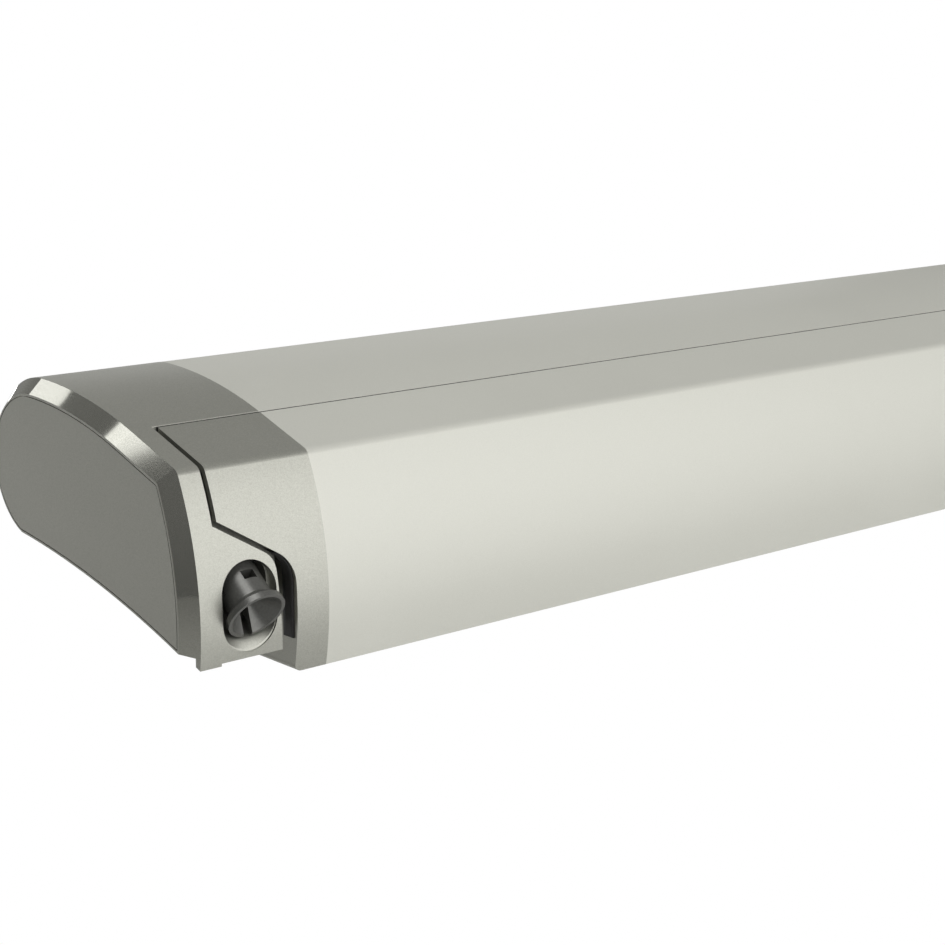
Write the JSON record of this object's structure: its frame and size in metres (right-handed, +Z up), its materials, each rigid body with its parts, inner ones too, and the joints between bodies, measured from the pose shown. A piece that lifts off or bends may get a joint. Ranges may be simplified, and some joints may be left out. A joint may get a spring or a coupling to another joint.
{
  "type": "roll out awning",
  "caption": "Roof-mounted roll out awning for a caravan or camper: a closed cassette with a geared roller, folding arms, a lead rail and fold-down legs.",
  "frame": {"origin": "centre of the middle roof bracket's underside", "axes": "+X along the awning, away from the gear end; +Y back toward the vehicle; +Z up"},
  "size_m": [2.6, 0.1994, 0.1333],
  "materials": {
    "case_coating": "satin silver powder coat",
    "cap_coating": "silver paint with fine metal flake",
    "rubber_black": "matt",
    "dark_plastic": "slightly glossy dark grey",
    "black_plastic": "fine grain",
    "gear_steel": "hobbed steel with a film of grease",
    "gear_brass": "machined",
    "zinc_plate": "zinc plated",
    "mill_aluminium": "extruded, untreated",
    "arm_coating": "satin silver powder coat",
    "cast_aluminium": "cast, lightly grained",
    "spring_steel": "oiled coils",
    "canopy_cloth": "coated woven cloth",
    "edge_cord": "smooth"
  },
  "bodies": {
    "case": {"housing": "case_coating", "lip_seal": "rubber_black", "end_cap_left": "cap_coating", "end_cap_right": "cap_coating", "side_cover_left": "cap_coating", "side_cover_right": "cap_coating", "gear_frame": "zinc_plate", "roller_bearing": "zinc_plate", "shoulder_bracket_left": "cast_aluminium", "shoulder_bracket_right": "cast_aluminium", "shoulder_pins": "zinc_plate", "roof_bracket": "zinc_plate", "roof_brackets_outer": "zinc_plate"},
    "crank": {"crank_socket": "dark_plastic", "worm_shaft": "gear_steel"},
    "idler": {"idler_shaft": "gear_steel", "worm_wheel": "gear_brass", "idler_gear": "gear_steel"},
    "roller": {"roller_gear": "gear_steel", "roller_plug_left": "black_plastic", "roller_plug_right": "black_plastic", "roller_tube": "mill_aluminium", "fabric_roll": "canopy_cloth"},
    "rail": {"lead_rail": "case_coating", "rail_cap_left": "cap_coating", "rail_cap_right": "cap_coating", "edge_rod": "edge_cord", "wrist_bracket_left": "cast_aluminium", "wrist_bracket_right": "cast_aluminium", "wrist_pins": "zinc_plate", "leg_hanger_left": "zinc_plate", "leg_hanger_right": "zinc_plate", "leg_pins": "zinc_plate", "canopy_sheet": "canopy_cloth"},
    "tail": {"canopy_tail": "canopy_cloth"},
    "upper_arm_left": {"shoulder_eye_left": "cast_aluminium", "upper_arm_left": "arm_coating", "arm_spring_left": "spring_steel", "elbow_fork_left": "cast_aluminium", "elbow_pin_left": "zinc_plate"},
    "forearm_left": {"elbow_tongue_left": "cast_aluminium", "forearm_left": "arm_coating", "wrist_eye_left": "cast_aluminium"},
    "leg_left": {"leg_outer_left": "mill_aluminium"},
    "lock_left": {"leg_lock_left": "black_plastic"},
    "leg_inner_left": {"leg_inner_left": "mill_aluminium"},
    "foot_left": {"leg_foot_left": "black_plastic"},
    "upper_arm_right": {"shoulder_eye_right": "cast_aluminium", "upper_arm_right": "arm_coating", "arm_spring_right": "spring_steel", "elbow_fork_right": "cast_aluminium", "elbow_pin_right": "zinc_plate"},
    "forearm_right": {"elbow_tongue_right": "cast_aluminium", "forearm_right": "arm_coating", "wrist_eye_right": "cast_aluminium"},
    "leg_right": {"leg_outer_right": "mill_aluminium"},
    "lock_right": {"leg_lock_right": "black_plastic"},
    "leg_inner_right": {"leg_inner_right": "mill_aluminium"},
    "foot_right": {"leg_foot_right": "black_plastic"}
  },
  "joints": [
    {"name": "shoulder_left_pivot", "type": "hinge", "parent": "case", "child": "upper_arm_left", "pos_m": [-1.19, -0.024, 0.055], "axis": [0, 0.1392, -0.9903], "range_deg": [0, 69]},
    {"name": "elbow_left_pivot", "type": "hinge", "parent": "upper_arm_left", "child": "forearm_left", "pos_m": [-0.11012, -0.03984, 0.05277], "axis": [0, -0.1392, 0.9903], "range_deg": [0, 138]},
    {"name": "wrist_left_pivot", "type": "hinge", "parent": "forearm_left", "child": "rail", "pos_m": [-1.19, -0.05569, 0.05055], "axis": [0, 0.1392, -0.9903], "range_deg": [0, 69]},
    {"name": "shoulder_right_pivot", "type": "hinge", "parent": "case", "child": "upper_arm_right", "pos_m": [1.19, -0.024, 0.055], "axis": [0, -0.1392, 0.9903], "range_deg": [0, 69]},
    {"name": "elbow_right_pivot", "type": "hinge", "parent": "upper_arm_right", "child": "forearm_right", "pos_m": [0.11012, -0.03984, 0.05277], "axis": [0, 0.1392, -0.9903], "range_deg": [0, 138]},
    {"name": "roller_turn", "type": "hinge", "parent": "case", "child": "roller", "pos_m": [0, 0.03702, 0.07052], "axis": [1, 0, 0], "continuous": true},
    {"name": "idler_turn", "type": "hinge", "parent": "case", "child": "idler", "pos_m": [-1.251, -0.01618, 0.05672], "axis": [1, 0, 0], "continuous": true},
    {"name": "crank_turn", "type": "hinge", "parent": "case", "child": "crank", "pos_m": [-1.2644, -0.1054, 0.0173], "axis": [0, -0.8, -0.6], "continuous": true},
    {"name": "canopy_pay_out", "type": "slide", "parent": "rail", "child": "tail", "axis": [0, 0.9903, 0.1392], "range_m": [0, 1.9962], "deforming": ["canopy_sheet", "canopy_tail"]},
    {"name": "leg_left_fold", "type": "hinge", "parent": "rail", "child": "leg_left", "pos_m": [-1.18, -0.086, -0.001], "axis": [0, 1, 0], "range_deg": [0, 90]},
    {"name": "leg_left_extend", "type": "slide", "parent": "leg_left", "child": "leg_inner_left", "axis": [1, 0, 0], "range_m": [0, 0.974]},
    {"name": "foot_left_pivot", "type": "hinge", "parent": "leg_inner_left", "child": "foot_left", "pos_m": [-0.078, -0.086, -0.001], "axis": [0, 1, 0], "range_deg": [0, 90]},
    {"name": "lock_left_lever", "type": "hinge", "parent": "leg_left", "child": "lock_left", "pos_m": [-0.108, -0.086, -0.0133], "axis": [0, -1, 0], "range_deg": [0, 75]},
    {"name": "leg_right_fold", "type": "hinge", "parent": "rail", "child": "leg_right", "pos_m": [1.18, -0.069, -0.001], "axis": [0, -1, 0], "range_deg": [0, 90]},
    {"name": "leg_right_extend", "type": "slide", "parent": "leg_right", "child": "leg_inner_right", "axis": [-1, 0, 0], "range_m": [0, 0.974]},
    {"name": "foot_right_pivot", "type": "hinge", "parent": "leg_inner_right", "child": "foot_right", "pos_m": [0.078, -0.069, -0.001], "axis": [0, -1, 0], "range_deg": [0, 90]},
    {"name": "lock_right_lever", "type": "hinge", "parent": "leg_right", "child": "lock_right", "pos_m": [0.108, -0.069, -0.0133], "axis": [0, 1, 0], "range_deg": [0, 75]}
  ],
  "couplings": [
    {"joint": "elbow_left_pivot", "follows": "shoulder_left_pivot", "ratio": 2},
    {"joint": "wrist_left_pivot", "follows": "shoulder_left_pivot", "ratio": 1},
    {"joint": "shoulder_right_pivot", "follows": "shoulder_left_pivot", "ratio": 1},
    {"joint": "elbow_right_pivot", "follows": "shoulder_left_pivot", "ratio": 2},
    {"joint": "roller_turn", "follows": "shoulder_left_pivot", "ratio": 51},
    {"joint": "idler_turn", "follows": "shoulder_left_pivot", "ratio": -51},
    {"joint": "crank_turn", "follows": "shoulder_left_pivot", "ratio": 357},
    {"joint": "canopy_pay_out", "follows": "shoulder_left_pivot", "m_per_rad": 1.6572}
  ]
}
